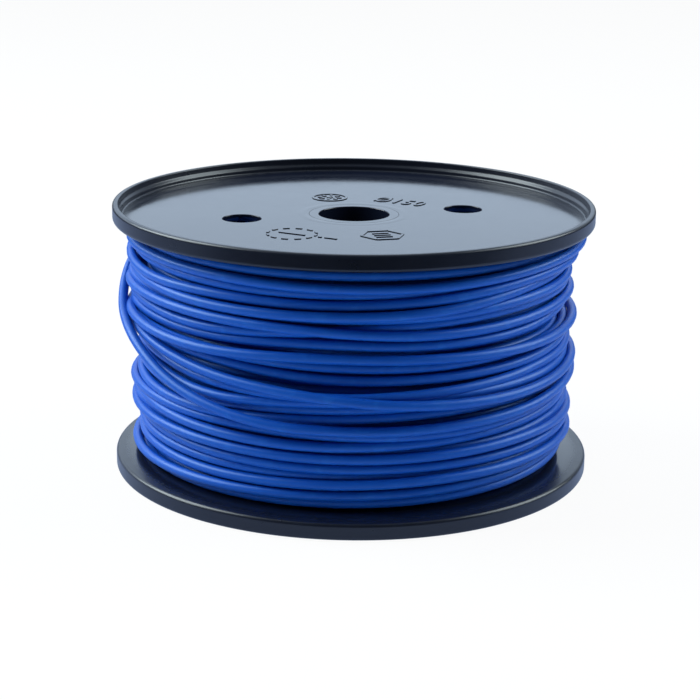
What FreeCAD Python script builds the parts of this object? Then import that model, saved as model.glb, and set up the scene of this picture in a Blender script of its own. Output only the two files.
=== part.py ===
import FreeCAD, Part

import math
import os

# A plastic wire spool that stands on its lower flange, wound full with about 100 m of
# insulated wire.  Two identical moulded flanges carry a drum barrel and an arbor tube
# between them; the wire lies on the barrel in layers, one traverse of turns to a layer.
#
# Frame: millimetres, origin at the centre of the lower flange's standing rim,
# +Z along the spool's axis, +X through the drive holes.

# --- driving dimensions -------------------------------------------------------------
FLANGE_DIAMETER = 150.0
SPOOL_HEIGHT = 84.0

RIM_HEIGHT = 5.0            # straight outer wall of a flange
RIM_WALL = 2.6              # wall between the outer face and the dished side
RIM_LAND = 1.8              # standing land at the rim's free edge
RIM_LEDGE_DEPTH = 2.3       # from the land down to the small ledge inside the rim
RIM_EDGE_ROUND = 0.4
RIM_BACK_SLOPE = 12.0        # radial run of the slope from the outer wall to the inner face
DISH_DEPTH = 4.1            # from the land down to the disc
DISH_CORNER_ROUND = 0.6
DISC_THICKNESS = 2.3

DRIVE_HOLE_DIAMETER = 12.0
DRIVE_HOLE_CIRCLE = 71.5
DRIVE_HOLE_COUNT = 2

ARBOR_BORE = 22.0
ARBOR_WALL = 3.0
ARBOR_EDGE_CHAMFER = 0.3
ARBOR_SEAT_CLEARANCE = 0.05

BARREL_DIAMETER = 52.0
BARREL_WALL = 2.0
START_SLOT_LENGTH = 31.0    # the wire's start passes in through this slot
START_SLOT_WIDTH = 5.0
START_SLOT_HEIGHT = 65.0    # above the standing rim
START_SLOT_ANGLE = 90.0

HUB_COLLAR_WALL = 3.0       # moulded collar round the arbor tube, inside the barrel
HUB_DEPTH = 6.0             # how far the collar and the spigot stand in from the disc
SPIGOT_WALL = 2.0           # moulded ring that centres the barrel
SPIGOT_CLEARANCE = 0.1
HUB_RIB_COUNT = 6
HUB_RIB_THICKNESS = 1.6
HUB_RIB_DEPTH = 4.0

WIRE_DIAMETER = 3.0
LAYER_COUNT = 14
WINDING_INSET = 5.5         # from the flanges' edge in to the winding, at its fullest
WINDING_END_GAP = 0.1       # between the end turns and a flange
# how far the outermost layer falls short of that radius, at shares of the traverse
WINDING_OUTLINE = ((0.0, 1.2), (0.1, 0.0), (0.3, 0.3), (0.5, 1.3), (0.7, 0.5), (0.85, 0.0), (1.0, 0.9))

STRAND_DIAMETER = 0.32      # 19 strands: one, ringed by six, ringed by twelve
STRAND_LAY = ((0, 1), (1, 6), (2, 12))
STRAND_CLEARANCE = 0.004    # between one strand and the next
CONDUCTOR_BARED = 1.2       # how far the strands stand out of a cut end
CONDUCTOR_SEATED = 5.0      # how far the strands are modelled into a cut end

# The slack turn that stands off the winding: it slips out from under a neighbour near the
# upper flange, drops steeply, and lies back down across the turns below.
# Each point is (degrees about the axis, how far it stands out from WINDING_RADIUS, height).
LOOSE_TURN_ROUTE = (
    (142.0, 0.4, 69.0),
    (153.0, 1.7, 68.4),
    (162.0, 2.8, 66.0),
    (168.5, 3.5, 61.0),
    (173.0, 3.7, 55.5),
    (179.5, 3.4, 51.0),
    (187.5, 2.9, 47.2),
    (197.0, 2.4, 42.6),
    (206.5, 2.0, 38.4),
    (217.0, 1.8, 35.2),
    (228.0, 1.7, 32.8),
    (239.0, 0.9, 31.4),
)

# The wire's free end: the last of the outermost turns, lying against the winding.
END_TAIL_ROUTE = (
    (38.0, 0.7, 36.0),
    (49.0, 1.6, 37.2),
    (60.0, 1.7, 38.8),
    (71.0, 1.7, 40.6),
    (82.0, 1.7, 42.0),
    (93.0, 1.9, 42.8),
)

# The wire's start: off the first turn, in through the barrel's slot, and along the inside.
# Each point is (degrees about the axis, how far it stands out from BARREL_RADIUS, height).
START_TAIL_ROUTE = (
    (128.0, 1.5, 65.0),
    (109.0, 0.3, 65.0),
    (91.0, -1.4, 65.0),
    (73.0, -3.1, 65.0),
    (53.0, -4.6, 65.2),
    (31.0, -5.4, 65.5),
    (9.0, -5.7, 65.8),
    (-13.0, -5.8, 66.0),
    (-33.0, -5.4, 66.0),
)

# --- sizes that follow from them ----------------------------------------------------
FLANGE_RADIUS = FLANGE_DIAMETER / 2.0
INNER_FACE = DISH_DEPTH + DISC_THICKNESS
TRAVERSE = SPOOL_HEIGHT - 2.0 * INNER_FACE
ARBOR_RADIUS = ARBOR_BORE / 2.0 + ARBOR_WALL
ARBOR_SEAT_RADIUS = ARBOR_RADIUS + ARBOR_SEAT_CLEARANCE
BARREL_RADIUS = BARREL_DIAMETER / 2.0
SPIGOT_RADIUS = BARREL_RADIUS - BARREL_WALL - SPIGOT_CLEARANCE
HUB_COLLAR_RADIUS = ARBOR_SEAT_RADIUS + HUB_COLLAR_WALL
WINDING_RADIUS = FLANGE_RADIUS - WINDING_INSET
LAYER_RISE = (WINDING_RADIUS - BARREL_RADIUS) / LAYER_COUNT
CONDUCTOR_RADIUS = 2.5 * STRAND_DIAMETER + 3.0 * STRAND_CLEARANCE

UP = FreeCAD.Vector(0, 0, 1)
AXIS_FOOT = FreeCAD.Vector(0, 0, 0)


def at(radius, height, degrees=0.0):
    """A point at a radius, a height and an angle about the spool's axis."""
    angle = math.radians(degrees)
    return FreeCAD.Vector(radius * math.cos(angle), radius * math.sin(angle), height)


def lathe(edges):
    """The solid that a closed outline in the XZ plane sweeps round the spool's axis."""
    face = Part.Face(Part.Wire(edges))
    return face.revolve(AXIS_FOOT, UP, 360.0)


def polygon_edges(points):
    """Straight edges from each (radius, height) to the next, closed."""
    corners = [at(radius, height) for radius, height in points]
    return [Part.makeLine(a, b) for a, b in zip(corners, corners[1:] + corners[:1])]


def tube(outer_radius, inner_radius, foot, height):
    """A straight tube about the spool's axis, standing on the height given as its foot."""
    base = at(0.0, foot)
    outside = Part.makeCylinder(outer_radius, height, base, UP)
    return outside.cut(Part.makeCylinder(inner_radius, height, base, UP))


def round_corner(before, corner, after, radius):
    """The two tangent points and the middle point of an arc that rounds a corner."""
    towards_before = (before - corner).normalize()
    towards_after = (after - corner).normalize()
    half = towards_before.getAngle(towards_after) / 2.0
    reach = radius / math.tan(half)
    bisector = (towards_before + towards_after).normalize()
    middle = corner + bisector * (radius / math.sin(half) - radius)
    return corner + towards_before * reach, middle, corner + towards_after * reach


def rounded_outline(points):
    """A closed outline through (radius, height, rounding) corners, each rounded as it says."""
    corners = [at(radius, height) for radius, height, _ in points]
    count = len(corners)
    rounds = []
    for i, (_, _, rounding) in enumerate(points):
        if rounding:
            rounds.append(round_corner(corners[i - 1], corners[i], corners[(i + 1) % count], rounding))
        else:
            rounds.append((corners[i], None, corners[i]))
    edges = []
    for i, (start, middle, end) in enumerate(rounds):
        if middle is not None:
            edges.append(Part.Arc(start, middle, end).toShape())
        following = rounds[(i + 1) % count][0]
        edges.append(Part.makeLine(end, following))
    return edges


def flange():
    """One flange moulding, lying dish down: rim, disc, hub collar, spigot ring and ribs."""
    wall_inside = FLANGE_RADIUS - RIM_WALL
    land_inside = FLANGE_RADIUS - RIM_LAND
    hub_top = INNER_FACE + HUB_DEPTH
    outline = (
        (ARBOR_SEAT_RADIUS, DISH_DEPTH, 0.0),
        (wall_inside, DISH_DEPTH, DISH_CORNER_ROUND),
        (wall_inside, RIM_LEDGE_DEPTH, 0.0),
        (land_inside, RIM_LEDGE_DEPTH, 0.0),
        (land_inside, 0.0, RIM_EDGE_ROUND),
        (FLANGE_RADIUS, 0.0, RIM_EDGE_ROUND),
        (FLANGE_RADIUS, RIM_HEIGHT, RIM_EDGE_ROUND),
        (FLANGE_RADIUS - RIM_BACK_SLOPE, INNER_FACE, RIM_EDGE_ROUND),
        (SPIGOT_RADIUS, INNER_FACE, 0.0),
        (SPIGOT_RADIUS, hub_top, 0.0),
        (SPIGOT_RADIUS - SPIGOT_WALL, hub_top, 0.0),
        (SPIGOT_RADIUS - SPIGOT_WALL, INNER_FACE, 0.0),
        (HUB_COLLAR_RADIUS, INNER_FACE, 0.0),
        (HUB_COLLAR_RADIUS, hub_top, 0.0),
        (ARBOR_SEAT_RADIUS, hub_top, 0.0),
    )
    body = lathe(rounded_outline(outline))
    for i in range(HUB_RIB_COUNT):
        body = body.fuse(hub_rib(360.0 * i / HUB_RIB_COUNT))
    for i in range(DRIVE_HOLE_COUNT):
        centre = at(DRIVE_HOLE_CIRCLE / 2.0, 0.0, 360.0 * i / DRIVE_HOLE_COUNT)
        body = body.cut(Part.makeCylinder(DRIVE_HOLE_DIAMETER / 2.0, hub_top, centre, UP))
    return body.removeSplitter()


def hub_rib(degrees):
    """One radial rib that ties the hub collar to the spigot ring, bedded in both walls."""
    inner = HUB_COLLAR_RADIUS - HUB_COLLAR_WALL / 2.0
    outer = SPIGOT_RADIUS - SPIGOT_WALL / 2.0
    corner = FreeCAD.Vector(inner, -HUB_RIB_THICKNESS / 2.0, INNER_FACE - DISC_THICKNESS / 2.0)
    rib = Part.makeBox(outer - inner, HUB_RIB_THICKNESS, DISC_THICKNESS / 2.0 + HUB_RIB_DEPTH, corner)
    rib.rotate(AXIS_FOOT, UP, degrees)
    return rib


def turned_over(shape):
    """The same moulding at the other end of the spool, turned about X to face down."""
    other = shape.copy()
    other.rotate(at(0.0, SPOOL_HEIGHT / 2.0), FreeCAD.Vector(1, 0, 0), 180.0)
    return other


def arbor_tube():
    """The centre tube, flush with the discs at both ends, with its bore edges eased."""
    low = DISH_DEPTH
    high = SPOOL_HEIGHT - DISH_DEPTH
    bore = ARBOR_BORE / 2.0
    eased = bore + ARBOR_EDGE_CHAMFER
    outline = (
        (bore, low + ARBOR_EDGE_CHAMFER),
        (eased, low),
        (ARBOR_RADIUS, low),
        (ARBOR_RADIUS, high),
        (eased, high),
        (bore, high - ARBOR_EDGE_CHAMFER),
    )
    return lathe(polygon_edges(outline))


def barrel():
    """The drum tube that the wire is wound on, with the slot for the wire's start."""
    drum = tube(BARREL_RADIUS, BARREL_RADIUS - BARREL_WALL, INNER_FACE, TRAVERSE)
    half_run = (START_SLOT_LENGTH - START_SLOT_WIDTH) / 2.0
    inside = BARREL_RADIUS / 2.0
    outwards = FreeCAD.Vector(1, 0, 0)
    slot = Part.makeBox(
        BARREL_RADIUS, 2.0 * half_run, START_SLOT_WIDTH,
        FreeCAD.Vector(inside, -half_run, START_SLOT_HEIGHT - START_SLOT_WIDTH / 2.0),
    )
    for side in (-half_run, half_run):
        end = FreeCAD.Vector(inside, side, START_SLOT_HEIGHT)
        slot = slot.fuse(Part.makeCylinder(START_SLOT_WIDTH / 2.0, BARREL_RADIUS, end, outwards))
    slot.rotate(AXIS_FOOT, UP, START_SLOT_ANGLE)
    return drum.cut(slot)


def winding_layer(number):
    """The ring that one layer of turns fills, counted from the barrel outwards."""
    low = INNER_FACE + WINDING_END_GAP
    height = TRAVERSE - 2.0 * WINDING_END_GAP
    inner = BARREL_RADIUS + (number - 1) * LAYER_RISE
    outer = BARREL_RADIUS + number * LAYER_RISE
    if number < LAYER_COUNT:
        return tube(outer, inner, low, height)
    outline = [(inner, low)]
    outline += [(outer - inset, low + share * height) for share, inset in WINDING_OUTLINE]
    outline.append((inner, low + height))
    return lathe(polygon_edges(outline))


def laid_on(radius, route):
    """The points of a wire's route, given by how far each stands out from a radius."""
    return [at(radius + out, height, degrees) for degrees, out, height in route]


def cord_tube(name, corners, radius):
    """A round tube along straight runs joined by the largest tangent arcs that fit."""
    edges = []
    start = corners[0]
    radii = []
    for before, corner, after in zip(corners, corners[1:], corners[2:]):
        half_turn = (corner - before).getAngle(after - corner) / 2.0
        run = min((corner - before).Length, (after - corner).Length)
        bend = 0.45 * run / math.tan(half_turn)
        radii.append(bend)
        arc_start, middle, arc_end = round_corner(before, corner, after, bend)
        edges.append(Part.makeLine(start, arc_start))
        edges.append(Part.Arc(arc_start, middle, arc_end).toShape())
        start = arc_end
    edges.append(Part.makeLine(start, corners[-1]))
    path = Part.Wire(edges)
    section = Part.Wire(Part.makeCircle(radius, corners[0], corners[1] - corners[0]))
    solid = path.makePipeShell([section], True, True)
    expected = math.pi * radius ** 2 * path.Length
    print(name, "length", round(path.Length, 1), "smallest bend", round(min(radii), 1),
          "volume share", round(solid.Volume / expected, 4))
    return solid


def cut_end(corners):
    """The last point of a route and the direction in which the wire points there."""
    return corners[-1], (corners[-1] - corners[-2]).normalize()


def open_end(solid, corners):
    """The wire with its insulation hollow where the strands sit, behind the cut end."""
    tip, outwards = cut_end(corners)
    return solid.cut(Part.makeCylinder(CONDUCTOR_RADIUS, CONDUCTOR_SEATED, tip, outwards * -1.0))


def conductor(corners):
    """The copper strands at a cut end: a centre strand and the rings laid round it."""
    tip, outwards = cut_end(corners)
    across = outwards.cross(UP).normalize()
    over = outwards.cross(across)
    foot = tip - outwards * CONDUCTOR_SEATED
    strands = []
    for ring, count in STRAND_LAY:
        spread = ring * (STRAND_DIAMETER + STRAND_CLEARANCE)
        for i in range(count):
            turn = 2.0 * math.pi * i / count
            centre = foot + across * (spread * math.cos(turn)) + over * (spread * math.sin(turn))
            strands.append(Part.makeCylinder(
                STRAND_DIAMETER / 2.0, CONDUCTOR_SEATED + CONDUCTOR_BARED, centre, outwards))
    return Part.makeCompound(strands)


def build():
    """Every node of the spool, by name."""
    lower = flange()
    nodes = {
        "bottom_flange": lower,
        "top_flange": turned_over(lower),
        "arbor_tube": arbor_tube(),
        "barrel": barrel(),
    }
    for number in range(1, LAYER_COUNT + 1):
        nodes[f"wire_layer_{number:02d}"] = winding_layer(number)
    outermost = nodes[f"wire_layer_{LAYER_COUNT:02d}"]
    within_barrel = Part.makeCylinder(BARREL_RADIUS, SPOOL_HEIGHT)
    wire_radius = WIRE_DIAMETER / 2.0
    loose_route = laid_on(WINDING_RADIUS, LOOSE_TURN_ROUTE)
    end_route = laid_on(WINDING_RADIUS, END_TAIL_ROUTE)
    start_route = laid_on(BARREL_RADIUS, START_TAIL_ROUTE)
    nodes["wire_loose_turn"] = cord_tube("wire_loose_turn", loose_route, wire_radius).cut(outermost)
    end = cord_tube("wire_end_tail", end_route, wire_radius).cut(outermost)
    nodes["wire_end_tail"] = open_end(end, end_route)
    start = cord_tube("wire_start_tail", start_route, wire_radius).common(within_barrel)
    nodes["wire_start_tail"] = open_end(start, start_route)
    nodes["end_conductor"] = conductor(end_route)
    nodes["start_conductor"] = conductor(start_route)
    return nodes


os.makedirs("parts", exist_ok=True)
for node_name, shape in build().items():
    valid = shape.isValid()
    print(node_name, "solids", len(shape.Solids), "volume", round(shape.Volume, 1), "valid", valid)
    shape.exportStep(f"parts/{node_name}.step")
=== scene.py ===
"""The looks of a wound wire spool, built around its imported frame.

Two glossy black flange mouldings stand on a barrel and an arbor tube.  One blue insulated wire
is wound between them in fourteen layers, and ends in a slack turn and a free tail.

Everything is in metres, in the frame's own axes: the spool stands on its lower rim, +Z is its
axis and +X runs through the drive holes.  Angles about the axis are in degrees from +X.
"""

import logging
import math
from dataclasses import dataclass
from dataclasses import field
from enum import Enum
from typing import Any
from typing import Iterable
from typing import Sequence

import bmesh
import bpy
import numpy as np
from bpy.types import Material
from bpy.types import Object
from mathutils import Matrix
from mathutils import Vector


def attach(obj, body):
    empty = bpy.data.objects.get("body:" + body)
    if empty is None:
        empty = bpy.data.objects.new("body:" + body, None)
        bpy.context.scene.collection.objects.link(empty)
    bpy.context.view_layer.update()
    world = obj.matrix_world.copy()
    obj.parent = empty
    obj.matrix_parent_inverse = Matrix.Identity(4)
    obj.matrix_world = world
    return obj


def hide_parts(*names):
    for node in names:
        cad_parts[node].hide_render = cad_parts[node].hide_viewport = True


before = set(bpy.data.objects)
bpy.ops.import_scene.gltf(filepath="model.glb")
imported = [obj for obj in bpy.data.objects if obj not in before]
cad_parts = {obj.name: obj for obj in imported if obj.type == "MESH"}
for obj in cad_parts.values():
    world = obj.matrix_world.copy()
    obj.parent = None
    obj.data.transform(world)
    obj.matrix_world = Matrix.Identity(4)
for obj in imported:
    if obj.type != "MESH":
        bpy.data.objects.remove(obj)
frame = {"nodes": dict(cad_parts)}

LOG = logging.getLogger("wire_spool")
MM = 0.001
SPOOL_HEIGHT = 84.0 * MM
BODY = "root"
FULL_TURN = 2.0 * math.pi

Number = float | int
Colour = tuple[float, float, float, float]
Triple = tuple[float, float, float]
Pair = tuple[float, float]
WHITE: Colour = (1.0, 1.0, 1.0, 1.0)


def at(degrees: float, radius: float, height: float) -> Vector:
    """A point at an angle about the spool's axis, a radius and a height."""
    angle = math.radians(degrees)
    return Vector((radius * math.cos(angle), radius * math.sin(angle), height))


def placed(name: str, data: Any) -> Object:
    """A new object of that data, in the scene."""
    made = bpy.data.objects.new(name, data)
    bpy.context.scene.collection.objects.link(made)
    return made


# --- node trees ---------------------------------------------------------------------


class Signal:
    """An output socket that arithmetic operators join to new Math nodes."""

    def __init__(self, tree: "Tree", socket: bpy.types.NodeSocket) -> None:
        """Wraps one socket of a tree."""
        self.tree = tree
        self.socket = socket

    def maths(self, operation: str, *operands: "Signal | Number") -> "Signal":
        """The result of one Math node."""
        settings = {"operation": operation}
        return self.tree.out("ShaderNodeMath", settings, dict(enumerate(operands)))

    def __add__(self, other: "Signal | Number") -> "Signal":
        """The sum."""
        return self.maths("ADD", self, other)

    __radd__ = __add__

    def __sub__(self, other: "Signal | Number") -> "Signal":
        """The difference."""
        return self.maths("SUBTRACT", self, other)

    def __rsub__(self, other: "Signal | Number") -> "Signal":
        """The difference, the other way round."""
        return self.maths("SUBTRACT", other, self)

    def __mul__(self, other: "Signal | Number") -> "Signal":
        """The product."""
        return self.maths("MULTIPLY", self, other)

    __rmul__ = __mul__

    def __truediv__(self, other: "Signal | Number") -> "Signal":
        """The quotient."""
        return self.maths("DIVIDE", self, other)

    def __pow__(self, other: "Signal | Number") -> "Signal":
        """The power."""
        return self.maths("POWER", self, other)

    def ramp(self, low: float, high: float) -> "Signal":
        """0 below low, 1 above high and a smooth step in between."""
        settings = {"interpolation_type": "SMOOTHSTEP"}
        sockets = {"Value": self, "From Min": low, "From Max": high}
        return self.tree.out("ShaderNodeMapRange", settings, sockets)


class Tree:
    """A node tree, and the one method that adds nodes to it."""

    def __init__(self, nodes: bpy.types.NodeTree) -> None:
        """Wraps an empty tree."""
        self.nodes = nodes

    def add(self, kind: str, settings: dict[str, Any], sockets: dict[Any, Any]) -> bpy.types.Node:
        """Adds one node.

        Args:
            kind: the node's type.
            settings: its properties, set before any socket.
            sockets: a value, Signal or socket for each input, by name or place.

        Returns:
            The node.
        """
        node = self.nodes.nodes.new(kind)
        for name, value in settings.items():
            setattr(node, name, value)
        for key, value in sockets.items():
            if isinstance(value, Signal):
                value = value.socket
            if isinstance(value, bpy.types.NodeSocket):
                self.nodes.links.new(value, node.inputs[key])
            else:
                node.inputs[key].default_value = value
        return node

    def out(self, kind: str, settings: dict[str, Any], sockets: dict[Any, Any],
            output: int | str = 0) -> Signal:
        """Adds one node and gives one of its outputs as a Signal."""
        return Signal(self, self.add(kind, settings, sockets).outputs[output])

    def mix_colour(self, share: Signal, first: Any, second: Any) -> Signal:
        """The first colour where share is 0 and the second where it is 1."""
        settings = {"data_type": "RGBA"}
        return self.out("ShaderNodeMix", settings, {0: share, 6: first, 7: second}, 2)

    def along(self, place: Any, direction: Vector) -> Signal:
        """How far a place lies along a direction."""
        settings = {"operation": "DOT_PRODUCT"}
        return self.out("ShaderNodeVectorMath", settings, {0: place, 1: direction}, "Value")


class SurfaceTree(Tree):
    """The tree of one material, with the patterns that the finishes share."""

    def __init__(self, name: str) -> None:
        """Starts a material of that name."""
        self.material = bpy.data.materials.new(name)
        self.material.use_nodes = True
        super().__init__(self.material.node_tree)
        self.nodes.nodes.clear()
        place = self.add("ShaderNodeTexCoord", {}, {})
        self.place = place.outputs["Object"]

    def noise(self, scale: float, detail: float = 2.0, where: Any = None) -> Signal:
        """Noise from 0 to 1 about a half, at so many features to the metre."""
        sockets = {"Vector": where or self.place, "Scale": scale, "Detail": detail}
        return self.out("ShaderNodeTexNoise", {}, sockets)

    def stretched(self, scale: Sequence[float], turn: Sequence[float] = (0.0, 0.0, 0.0)) -> Signal:
        """The object's coordinates, turned and then scaled along each axis."""
        sockets = {"Vector": self.place, "Scale": scale, "Rotation": turn}
        return self.out("ShaderNodeMapping", {}, sockets)

    def round_axis(self) -> tuple[Signal, Signal, Signal]:
        """The radius, the angle in radians and the height of each point."""
        parts = self.add("ShaderNodeSeparateXYZ", {}, {0: self.place})
        x, y, z = (Signal(self, socket) for socket in parts.outputs)
        radius = (x * x + y * y) ** 0.5
        return radius, y.maths("ARCTAN2", y, x), z

    def bump(self, height: Signal, distance: float, normal: Signal | None = None) -> Signal:
        """A bumped normal, so many metres high."""
        sockets: dict[Any, Any] = {"Height": height, "Distance": distance, "Strength": 1.0}
        if normal is not None:
            sockets["Normal"] = normal
        return self.out("ShaderNodeBump", {}, sockets)

    def finish(self, sockets: dict[Any, Any]) -> Material:
        """Closes the tree with a principled surface and gives its material."""
        surface = self.add("ShaderNodeBsdfPrincipled", {}, sockets)
        self.add("ShaderNodeOutputMaterial", {}, {"Surface": surface.outputs[0]})
        return self.material


class PatternTree(Tree):
    """A geometry tree whose inputs are named sizes, ending in one material."""

    def __init__(self, name: str, inputs: dict[str, str]) -> None:
        """Starts a tree.

        Args:
            name: the tree's name.
            inputs: the socket type of each named input.
        """
        group = bpy.data.node_groups.new(name, "GeometryNodeTree")
        super().__init__(group)
        self.identifiers = {}
        for label, kind in {"Geometry": "NodeSocketGeometry", **inputs}.items():
            socket = group.interface.new_socket(label, in_out="INPUT", socket_type=kind)
            self.identifiers[label] = socket.identifier
        group.interface.new_socket("Geometry", in_out="OUTPUT", socket_type="NodeSocketGeometry")
        self.entry = self.add("NodeGroupInput", {}, {})

    def given(self, label: str) -> Signal:
        """One named input."""
        return Signal(self, self.entry.outputs[label])

    def close(self, instances: Signal) -> None:
        """Realizes the instances, sets their material and ends the tree."""
        solid = self.out("GeometryNodeRealizeInstances", {}, {0: instances})
        sockets = {"Geometry": solid, "Material": self.given("Material")}
        dressed = self.out("GeometryNodeSetMaterial", {}, sockets)
        self.add("NodeGroupOutput", {}, {0: dressed})

    def bake(self, name: str, values: dict[str, Any]) -> Object:
        """Runs the tree with those inputs and gives the result as a plain mesh object."""
        blank = bpy.data.meshes.new(name + "_blank")
        maker = placed(name + "_maker", blank)
        modifier = maker.modifiers.new("pattern", "NODES")
        modifier.node_group = self.nodes
        for label, value in values.items():
            modifier[self.identifiers[label]] = value
        baked = baked_copy(maker, name)
        bpy.data.objects.remove(maker)
        return baked


# --- finishes -----------------------------------------------------------------------


# Each set of scratches: its turn in radians, and the level of noise where they begin.
SCRATCH_SETS = ((0.4, 0.66), (1.5, 0.68), (2.6, 0.67))


@dataclass(frozen=True)
class MouldedPlastic:
    """Glossy black injection-moulded plastic, lightly scuffed from handling."""

    colour: Colour = (0.0062, 0.0085, 0.0190, 1.0)
    dust_colour: Colour = (0.06, 0.07, 0.09, 1.0)
    shade: Pair = (0.75, 1.25)
    dust_share: float = 0.2
    roughness: float = 0.12
    drift_roughness: float = 0.06
    scratch_roughness: float = 0.04
    dust_roughness: float = 0.05
    rim_satin: float = 0.17
    satin_span: Pair = (68.6 * MM, 72.8 * MM)
    flow_scale: float = 38.0
    mottle_scale: float = 240.0
    speck_scale: float = 1500.0
    dust_scale: float = 70.0
    sink_scale: float = 45.0
    sink_depth: float = 0.02 * MM
    seat_hump: float = 0.03 * MM
    hump_radii: Triple = (14.2 * MM, 15.8 * MM, 18.0 * MM)
    grain_scale: float = 1900.0
    grain_depth: float = 0.0002 * MM
    scratch_depth: float = 0.0005 * MM
    scratch_spacing: Triple = (90.0, 3200.0, 90.0)
    scratch_band: float = 0.06
    speck_band: Pair = (0.70, 0.80)
    dust_band: Pair = (0.45, 0.70)
    ior: float = 1.5

    def material(self) -> Material:
        """Builds the plastic's material."""
        tree = SurfaceTree("spool_plastic_moulded")
        flow = tree.noise(self.flow_scale, 3.0)
        mottle = tree.noise(self.mottle_scale, 4.0)
        grain = tree.noise(self.grain_scale)
        scratches = self.scratches(tree)
        specks = tree.noise(self.speck_scale, 1.0).ramp(*self.speck_band)
        dust = specks * tree.noise(self.dust_scale).ramp(*self.dust_band)
        dark, light = self.shade
        scaled = {0: self.colour[:3], "Scale": dark + (light - dark) * flow}
        tone = tree.out("ShaderNodeVectorMath", {"operation": "SCALE"}, scaled)
        base = tree.mix_colour(dust * self.dust_share, tone, self.dust_colour)
        drift = (mottle - 0.5) * self.drift_roughness + (flow - 0.5) * self.drift_roughness
        scuffs = scratches * self.scratch_roughness + dust * self.dust_roughness
        radius, _, _ = tree.round_axis()
        satin = radius.ramp(*self.satin_span) * self.rim_satin
        foot, crest, end = self.hump_radii
        hump = radius.ramp(foot, crest) - radius.ramp(crest, end)
        seat = tree.bump(hump, self.seat_hump)
        sinks = tree.bump(tree.noise(self.sink_scale, 1.0), self.sink_depth, seat)
        skin = tree.bump(grain, self.grain_depth, sinks)
        scored = tree.bump(1.0 - scratches, self.scratch_depth, skin)
        return tree.finish({
            "Base Color": base,
            "Roughness": self.roughness + drift + scuffs + satin,
            "Normal": scored,
            "IOR": self.ior,
        })

    def scratches(self, tree: SurfaceTree) -> Signal:
        """Three sets of short fine handling scratches, each in its own direction."""
        found = None
        for turn, low in SCRATCH_SETS:
            along = tree.stretched(self.scratch_spacing, (0.0, 0.0, turn))
            lines = tree.noise(1.0, 1.0, along.socket).ramp(low, low + self.scratch_band)
            found = lines if found is None else found.maths("MAXIMUM", found, lines)
        return found


@dataclass(frozen=True)
class WireInsulation:
    """Blue extruded PVC, with fine die lines along the wire and a little wear."""

    colour: Colour = (0.003, 0.079, 0.46, 1.0)
    worn_colour: Colour = (0.008, 0.118, 0.54, 1.0)
    sheen_tint: Colour = (0.50, 0.74, 1.0, 1.0)
    wear_share: float = 0.5
    batch_middle: float = 0.4
    roughness: float = 0.39
    line_roughness: float = 0.08
    wear_roughness: float = 0.06
    die_line_scale: float = 3400.0
    die_line_depth: float = 0.0014 * MM
    line_run: float = 0.006
    grain_scale: float = 2800.0
    grain_depth: float = 0.001 * MM
    batch_scale: float = 60.0
    rub_scale: float = 210.0
    rub_band: Pair = (0.54, 0.72)
    ior: float = 1.47

    def material(self) -> Material:
        """Builds the insulation's material."""
        tree = SurfaceTree("wire_insulation_pvc")
        radius, angle, height = tree.round_axis()
        along = {0: radius, 1: height, 2: angle * self.line_run}
        lengthwise = tree.out("ShaderNodeCombineXYZ", {}, along)
        die_lines = tree.noise(self.die_line_scale, 2.0, lengthwise.socket)
        grain = tree.noise(self.grain_scale, 3.0)
        batch = tree.noise(self.batch_scale)
        rubbed = tree.noise(self.rub_scale, 4.0).ramp(*self.rub_band)
        worn = (rubbed + batch - self.batch_middle) * self.wear_share
        base = tree.mix_colour(worn, self.colour, self.worn_colour)
        roughness = self.roughness + (die_lines - 0.5) * self.line_roughness
        roughness = roughness + (rubbed + grain - 0.5) * self.wear_roughness
        lined = tree.bump(die_lines, self.die_line_depth)
        skin = tree.bump(grain, self.grain_depth, lined)
        return tree.finish({
            "Base Color": base,
            "Roughness": roughness,
            "Normal": skin,
            "Specular Tint": self.sheen_tint,
            "IOR": self.ior,
        })


@dataclass(frozen=True)
class CopperStrand:
    """Bare drawn copper, a little tarnished."""

    colour: Colour = (0.82, 0.43, 0.27, 1.0)
    tarnish: Colour = (0.42, 0.20, 0.12, 1.0)
    roughness: float = 0.28
    uneven_roughness: float = 0.2
    stain_scale: float = 900.0
    stain_band: Pair = (0.40, 0.75)
    drawn_spacing: Triple = (600.0, 9000.0, 9000.0)
    drawn_depth: float = 0.002 * MM

    def material(self) -> Material:
        """Builds the copper's material."""
        tree = SurfaceTree("copper_strand_drawn")
        stain = tree.noise(self.stain_scale, 4.0).ramp(*self.stain_band)
        drawn = tree.noise(1.0, 1.0, tree.stretched(self.drawn_spacing).socket)
        return tree.finish({
            "Base Color": tree.mix_colour(stain, self.colour, self.tarnish),
            "Metallic": 1.0,
            "Roughness": self.roughness + (stain + drawn - 0.5) * self.uneven_roughness,
            "Normal": tree.bump(drawn, self.drawn_depth),
        })


# --- mesh helpers -------------------------------------------------------------------


# The upright part of a face's normal from which the face counts as level.
LEVEL = 0.99999
# How many insets long a straight run is before it gets support.
LONG_RUN = 8.0


def baked_copy(source: Object, name: str) -> Object:
    """A plain mesh object made from an evaluated one, with its place in its mesh."""
    graph = bpy.context.evaluated_depsgraph_get()
    graph.update()
    shape = bpy.data.meshes.new_from_object(source.evaluated_get(graph), depsgraph=graph)
    shape.name = name
    return placed(name, shape)


def mesh_object(name: str, shape: bmesh.types.BMesh, finish: Material) -> Object:
    """Turns a bmesh into an object, smooth but for its sharp edges."""
    mesh = bpy.data.meshes.new(name)
    shape.to_mesh(mesh)
    shape.free()
    mesh.materials.append(finish)
    made = placed(name, mesh)
    keep_edges_crisp(mesh)
    return made


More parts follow.
